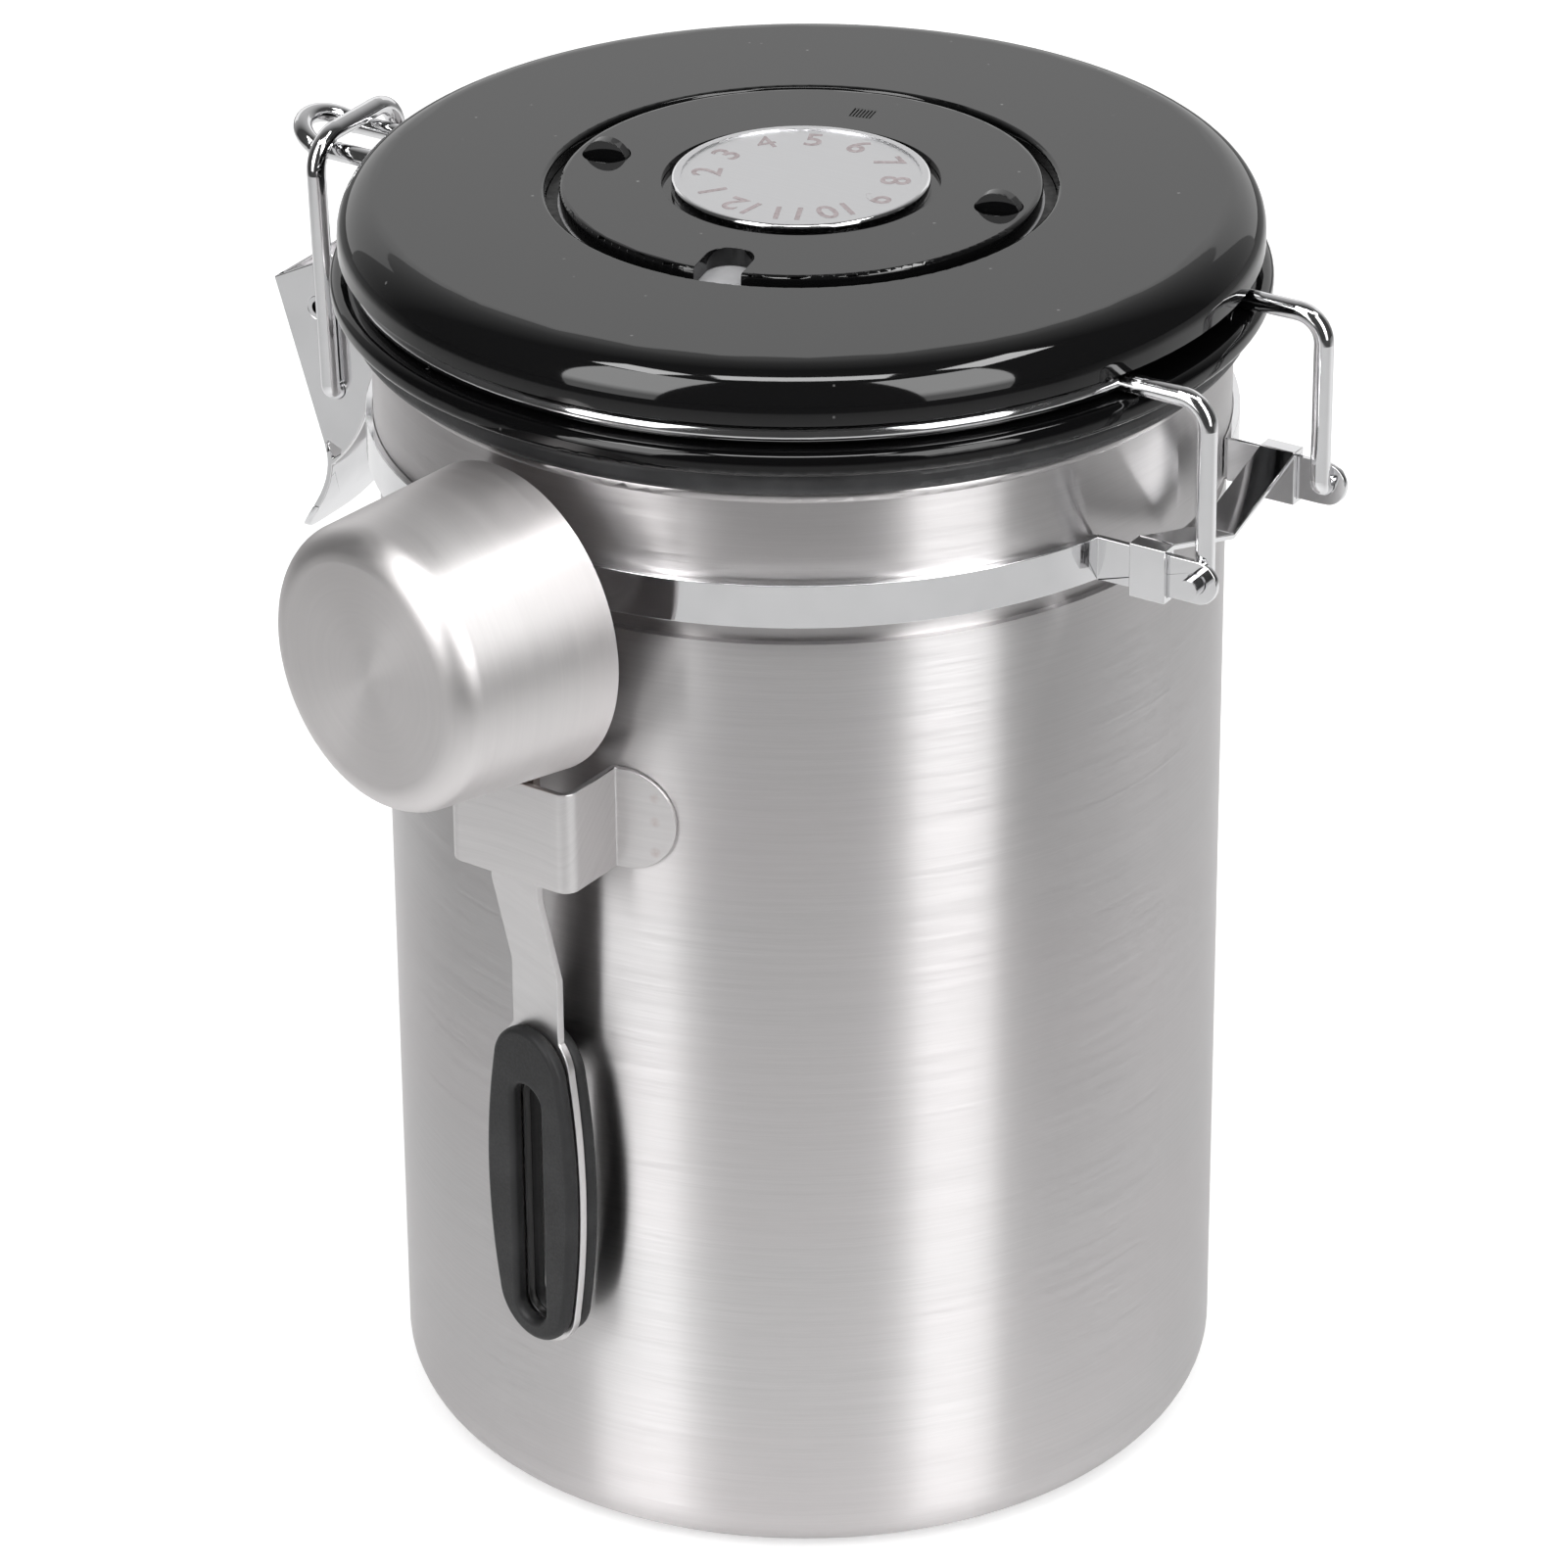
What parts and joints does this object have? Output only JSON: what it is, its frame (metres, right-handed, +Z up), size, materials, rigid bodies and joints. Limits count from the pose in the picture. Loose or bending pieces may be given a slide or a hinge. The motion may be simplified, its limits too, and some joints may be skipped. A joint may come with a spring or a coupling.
{
  "type": "coffee canister",
  "caption": "Brushed steel coffee canister with a hinged black lid, a vent valve, date dials, a wire bail latch and a scoop that hangs on its side.",
  "frame": {"origin": "centre of the flat foot, on the can's axis, at the level it stands on", "axes": "+Z up along the can's axis, +X towards the lid's hinge, so the latch is at -X and the scoop hangs near -Y"},
  "size_m": [0.1625, 0.1635, 0.1914],
  "materials": {
    "brushed_steel": "brushed",
    "chrome": "polished",
    "gloss_black": "gloss",
    "black_plastic": "satin",
    "gasket_rubber": "matte",
    "light_plate": "matte",
    "satin_dial": "satin",
    "white_plastic": "satin",
    "valve_rubber": "matte",
    "filter_felt": "matte",
    "grip_rubber": "matte"
  },
  "bodies": {
    "can": {"can_body": "brushed_steel", "neck_band": "chrome", "hinge_bridge": "chrome", "latch_bracket": "chrome", "scoop_holder": "brushed_steel"},
    "lid": {"lid_cap": "gloss_black", "lid_base": "black_plastic", "lid_gasket": "gasket_rubber", "lid_wire": "chrome", "day_plate": "light_plate", "dial_hub": "black_plastic", "lid_screw_a": "brushed_steel", "lid_screw_b": "brushed_steel", "lid_screw_c": "brushed_steel", "lid_screw_d": "brushed_steel", "valve_body": "white_plastic", "valve_cage": "white_plastic", "valve_filter": "filter_felt"},
    "ring": {"date_ring": "gloss_black"},
    "dial": {"month_dial": "satin_dial", "dial_clip": "brushed_steel"},
    "valve": {"valve_disc": "valve_rubber"},
    "lever": {"latch_lever": "chrome", "latch_pin": "chrome"},
    "bail": {"bail_wire": "chrome"},
    "scoop": {"scoop_cup": "brushed_steel", "scoop_handle": "brushed_steel", "scoop_grip_front": "grip_rubber", "scoop_grip_rear": "grip_rubber"}
  },
  "joints": [
    {"name": "lid_hinge", "type": "hinge", "parent": "can", "child": "lid", "pos_m": [0.074, 0, 0.15305], "axis": [0, 1, 0], "range_deg": [0, 105]},
    {"name": "latch_pivot", "type": "hinge", "parent": "can", "child": "lever", "pos_m": [-0.0776, 0, 0.1552], "axis": [0, 1, 0], "range_deg": [0, 120]},
    {"name": "bail_swing", "type": "hinge", "parent": "lever", "child": "bail", "pos_m": [-0.0748, 0, 0.143], "axis": [0, 1, 0], "range_deg": [-93, 0]},
    {"name": "ring_turn", "type": "hinge", "parent": "lid", "child": "ring", "pos_m": [0, 0, 0.188], "axis": [0, 0, 1], "continuous": true},
    {"name": "dial_turn", "type": "hinge", "parent": "lid", "child": "dial", "pos_m": [0, 0, 0.189], "axis": [0, 0, 1], "continuous": true},
    {"name": "valve_lift", "type": "slide", "parent": "lid", "child": "valve", "axis": [0, 0, 1], "range_m": [0, 0.0015]},
    {"name": "scoop_lift", "type": "slide", "parent": "can", "child": "scoop", "axis": [0, 0, 1], "range_m": [0, 0.065]}
  ],
  "couplings": [
    {"joint": "bail_swing", "follows": "latch_pivot", "ratio": -0.773}
  ]
}
